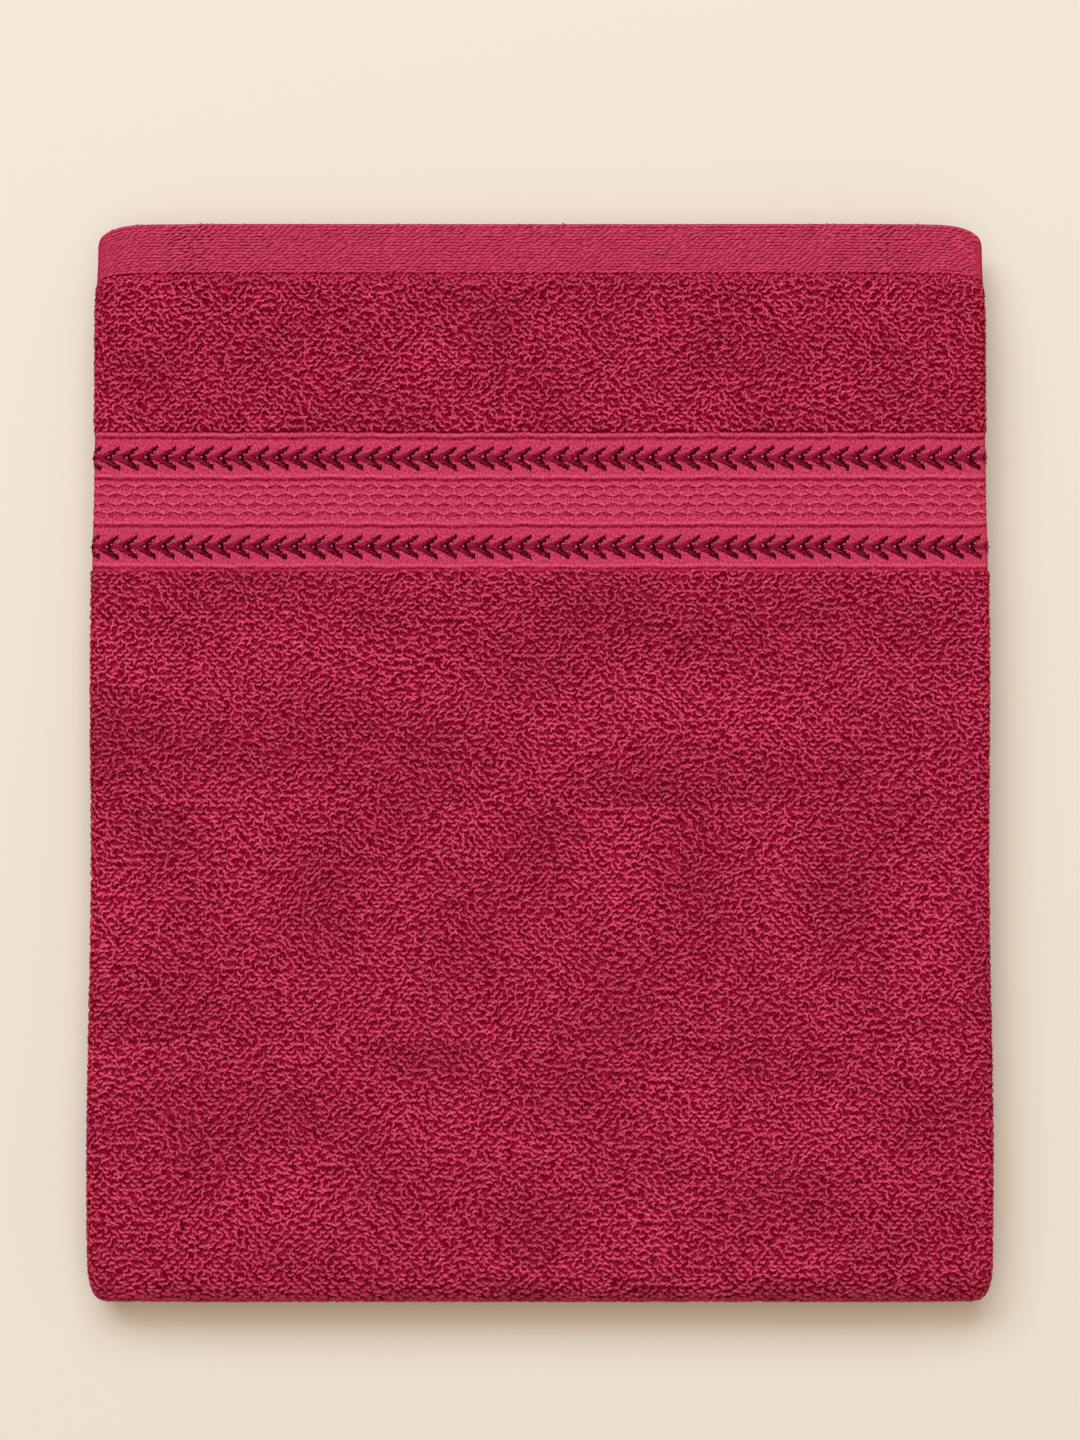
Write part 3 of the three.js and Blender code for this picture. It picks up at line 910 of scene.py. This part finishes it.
def make_knots(places, rng):
    """The small light knot and stitches in each arrowhead."""
    share = np.linspace(-0.5, 0.5, KNOT["rings"])
    arch = 1 - (2 * share) ** 2
    stitches = places[:, None, :] + np.array(ARROW_STITCHES) * [MM, -MM]
    stitches = (stitches + rng.normal(0, KNOT["place_spread"], stitches.shape)).reshape(-1, 2)
    size = np.tile([1.0] + [KNOT["stitch_size"]] * (len(ARROW_STITCHES) - 1), len(places))[:, None]
    size = size * rng.uniform(*KNOT["size_spread"], size.shape)
    across = stitches[:, 0, None] + KNOT["lean"] * size * share
    along = stitches[:, 1, None] + KNOT["length"] * size * share
    height = np.broadcast_to(KNOT["height"] + KNOT["arch"] * arch, along.shape)
    radius = KNOT["radius"] * size * (KNOT["end_share"] + (1 - KNOT["end_share"]) * arch)
    centre = np.stack([across, along, height], -1)
    return make_strands("arrowhead_knots", centre, radius, np.zeros(len(centre)))


def make_figures():
    """Two rows of arrowheads, and the light stitches in them."""
    rng = np.random.default_rng(SEED + 3)
    reach = int((HALF_WIDTH + 3 * MM) / PATTERN_PITCH)
    steps = np.arange(-reach, reach + 1)
    places = np.array([(PATTERN_PHASE + step * PATTERN_PITCH, row) for row in FIGURE_ROWS for step in steps])
    places += rng.normal(0, ARROW_SPREAD["place"], places.shape)
    return make_arrowheads(places, rng), make_knots(places, rng)


# Materials


def feed(tree, inputs, values):
    """Gives each of a node's inputs a field or a plain number."""
    for slot, value in zip(inputs, values):
        if isinstance(value, Field):
            tree.links.new(value.socket, slot)
        else:
            slot.default_value = value


class Field:
    """A number that a material works out at each spot, written as plain arithmetic."""

    def __init__(self, tree, socket):
        self.tree = tree
        self.socket = socket

    def math(self, operation, *inputs):
        node = self.tree.nodes.new("ShaderNodeMath")
        node.operation = operation
        feed(self.tree, node.inputs, inputs)
        return Field(self.tree, node.outputs["Value"])

    def __add__(self, other):
        return self.math("ADD", self, other)

    def __sub__(self, other):
        return self.math("SUBTRACT", self, other)

    def __rsub__(self, other):
        return self.math("SUBTRACT", other, self)

    def __mul__(self, other):
        return self.math("MULTIPLY", self, other)

    def __truediv__(self, other):
        return self.math("DIVIDE", self, other)

    def __abs__(self):
        return self.math("ABSOLUTE", self)

    __rmul__ = __mul__

    def round(self):
        return self.math("ROUND", self)

    def clip(self, low, high):
        return self.math("MINIMUM", self.math("MAXIMUM", self, low), high)


def noise(tree, place, detail=1.0):
    """Noise about 0.5 by three numbers, with one swell for each step of 1."""
    node = tree.nodes.new("ShaderNodeTexNoise")
    node.inputs["Scale"].default_value = 1
    node.inputs["Detail"].default_value = detail
    joined = tree.nodes.new("ShaderNodeCombineXYZ")
    feed(tree, joined.inputs, place)
    tree.links.new(joined.outputs["Vector"], node.inputs["Vector"])
    return Field(tree, node.outputs["Fac"])


def coordinates(tree, socket):
    """The three numbers of a place."""
    split = tree.nodes.new("ShaderNodeSeparateXYZ")
    tree.links.new(socket, split.inputs["Vector"])
    return [Field(tree, output) for output in split.outputs]


def mottles(tree, size):
    """Noise about 0.5 in space, with one swell for each step of this size."""
    place = tree.nodes.new("ShaderNodeTexCoord")
    return noise(tree, [part / size for part in coordinates(tree, place.outputs["Object"])])


def cloth_place(tree):
    """How far across and along the open cloth a spot lies."""
    place = tree.nodes.new("ShaderNodeUVMap")
    place.uv_map = "cloth"
    return coordinates(tree, place.outputs["UV"])[:2]


def point_value(tree, name):
    """A number that add_values gave to the piece's points."""
    node = tree.nodes.new("ShaderNodeAttribute")
    node.attribute_name = name
    return Field(tree, node.outputs["Fac"])


def paint(tree, painted, field, stops, slot="Base Color"):
    """Gives a node the colour for each value of the field, by stops of a value and a colour."""
    node = tree.nodes.new("ShaderNodeValToRGB")
    ramp = node.color_ramp
    while len(ramp.elements) < len(stops):
        ramp.elements.new(0.5)
    for element, (position, colour) in zip(ramp.elements, stops):
        element.position = position
        element.color = (*colour, 1)
    tree.links.new(field.socket, node.inputs["Fac"])
    tree.links.new(node.outputs["Color"], painted.inputs[slot])


def new_material(name, roughness, shine=0.0):
    """A material, and its node tree and shader."""
    material = bpy.data.materials.new(name)
    material.use_nodes = True
    shader = material.node_tree.nodes["Principled BSDF"]
    shader.inputs["Roughness"].default_value = roughness
    shader.inputs["Specular IOR Level"].default_value = shine
    return material, material.node_tree, shader


def add_sheen(shader):
    """The soft sheen of cotton."""
    shader.inputs["Sheen Weight"].default_value = 0.02
    shader.inputs["Sheen Roughness"].default_value = 0.5
    shader.inputs["Sheen Tint"].default_value = (*SHEEN_COLOUR, 1)


def raise_surface(tree, shader, field, distance):
    """Fine relief from a field, too small for the mesh."""
    node = tree.nodes.new("ShaderNodeBump")
    node.inputs["Distance"].default_value = distance
    tree.links.new(field.socket, node.inputs["Height"])
    tree.links.new(node.outputs["Normal"], shader.inputs["Normal"])


def make_yarn_material():
    """Cotton yarn: painted shade down to deep red in the gaps, a painted highlight on top, and small
    differences from loop to loop.
    """
    material, tree, shader = new_material("terry_yarn", 0.7)
    speckle = (mottles(tree, YARN_SPECKLE["size"]) - 0.5) * YARN_SPECKLE["strength"]
    shade = tree.nodes.new("ShaderNodeHueSaturation")
    paint(tree, shade, point_value(tree, "painted_light") + speckle, YARN_STOPS, "Color")
    value = point_value(tree, "tone").clip(-TONE_LIMIT, TONE_LIMIT) * TONE_STRENGTH + 1
    tree.links.new(value.socket, shade.inputs["Value"])
    tree.links.new(shade.outputs["Color"], shader.inputs["Base Color"])
    add_sheen(shader)
    return material


def make_ground_material():
    """The ground cloth under the pile: painted dark as shade, with the lower loops as lighter mottles."""
    material, tree, shader = new_material("ground_cloth", 0.9)
    paint(tree, shader, mottles(tree, GROUND_MOTTLE_SIZE), GROUND_STOPS)
    return material


def make_border_material():
    """The border's smooth yarn, with its woven lines and cells partly drawn as painted shade and painted
    highlights, and a fine grain of short upright floats.
    """
    material, tree, shader = new_material("border_yarn", 0.7)
    across, along = cloth_place(tree)

    def woven(kind, detail=1.0):
        return noise(tree, (across / kind["across"], along / kind["along"], 0.0), detail)

    shake = noise(tree, (across / BORDER_SHAKE["across"], 0.0, 0.0)) - 0.5
    shaken = along + shake * BORDER_SHAKE["strength"]
    grain = woven(BORDER_GRAIN, 2.0) - 0.5
    patches = woven(BORDER_PATCHES) * BORDER_PATCHES["strength"] + BORDER_PATCHES["least"]
    ribs = (woven(CELL_RIBS) - 0.5) * CELL_RIBS["strength"]
    past_start = ((along - CELLS["first_row"] + CELL_RIBS["before"]) / CELL_RIBS["fade"]).clip(0, 1)
    before_end = ((RIDGES[2] - along) / CELL_RIBS["fade"]).clip(0, 1)
    shade = border_shade(across, shaken) * patches + grain * BORDER_GRAIN["strength"]
    shade = shade + ribs * past_start * before_end
    paint(tree, shader, (shade + 1) / 1.5, BORDER_STOPS)
    raise_surface(tree, shader, grain, BORDER_GRAIN["relief"])
    add_sheen(shader)
    return material


def make_figure_material():
    """The arrowheads' dark yarn, between almost black maroon and deep red."""
    material, tree, shader = new_material("figure_yarn", 0.7)
    speckle = (mottles(tree, FIGURE_SPECKLE["size"]) - 0.5) * FIGURE_SPECKLE["strength"]
    paint(tree, shader, point_value(tree, "tone") + speckle, FIGURE_STOPS)
    return material


def make_plain_material(name, colour):
    """One yarn, a little uneven from spot to spot."""
    material, tree, shader = new_material(name, 0.7)
    stops = [(share, tuple(part * scale for part in colour)) for share, scale in ((0.3, 0.85), (0.7, 1.15))]
    paint(tree, shader, mottles(tree, PLAIN_MOTTLE_SIZE), stops)
    add_sheen(shader)
    return material


# Stage


def make_camera():
    """Straight above, at the distance that gives the photo's scale on the towel's top."""
    data = bpy.data.cameras.new("camera")
    data.lens = LENS
    data.sensor_width = SENSOR
    camera = add_object("camera", data)
    view_height = PHOTO_HEIGHT * PHOTO_PIXEL
    distance = view_height * LENS / SENSOR
    up_shift = (PHOTO_TOWEL_MIDDLE - PHOTO_HEIGHT / 2) * PHOTO_PIXEL
    camera.location = (0, up_shift, SCALE_PLANE + distance)
    bpy.context.scene.camera = camera


def make_floor():
    """A plain pale floor, so wide that its edge is far away in any view."""
    corners = FLOOR_REACH * np.array([[-1, -1, 0], [1, -1, 0], [1, 1, 0], [-1, 1, 0]])
    floor = make_piece("floor", corners, np.array([[0, 1, 2, 3]]))
    material, _, shader = new_material("floor_paper", 0.9, 0.5)
    shader.inputs["Base Color"].default_value = (*FLOOR_COLOUR, 1)
    floor.data.materials.append(material)


def make_light(name, place, size, power, colour):
    """A soft box, so wide and so high, that looks at the middle of the towel."""
    data = bpy.data.lights.new(name, "AREA")
    data.shape = "RECTANGLE"
    data.size, data.size_y = size
    data.energy = power
    data.color = colour
    light = add_object(name, data)
    light.location = place
    light.rotation_euler = (-light.location).to_track_quat("-Z", "Y").to_euler()


def make_lights():
    """A cool key light from behind the hem, a warm one overhead, and a faint warm world."""
    make_light("key", **KEY_LIGHT)
    make_light("overhead", **OVERHEAD_LIGHT)
    world = bpy.data.worlds.new("world")
    world.use_nodes = True
    background = world.node_tree.nodes["Background"]
    background.inputs["Color"].default_value = (*WORLD_COLOUR, 1)
    background.inputs["Strength"].default_value = WORLD_STRENGTH
    bpy.context.scene.world = world
    bpy.context.scene.view_settings.view_transform = "Standard"


def main():
    """Makes the stage and all pieces, and gives each piece its materials and its body."""
    make_camera()
    make_floor()
    make_lights()
    ground = make_ground()
    border = make_border()
    hem = make_hem_floats()
    seam = make_seam()
    pile = make_pile()
    arms, knots = make_figures()
    yarn = make_yarn_material()
    looks = [
        ([ground], [make_ground_material(), make_plain_material("flat_cloth", FLAT_CLOTH_COLOUR)], "terry"),
        ([border], [make_border_material()], "flat_weave"),
        ([hem], [yarn], "flat_weave"),
        ([seam], [make_plain_material("seam_groove_shade", SEAM_SHADE_COLOUR)], "flat_weave"),
        (pile, [yarn], "terry"),
        ([arms], [make_figure_material()], "figure_yarn"),
        ([knots], [make_plain_material("knot_yarn", KNOT_COLOUR)], "flat_weave"),
    ]
    for pieces, materials, slot in looks:
        for piece in pieces:
            for material in materials:
                piece.data.materials.append(material)
            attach(piece, "root")
    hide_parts("towel")


main()
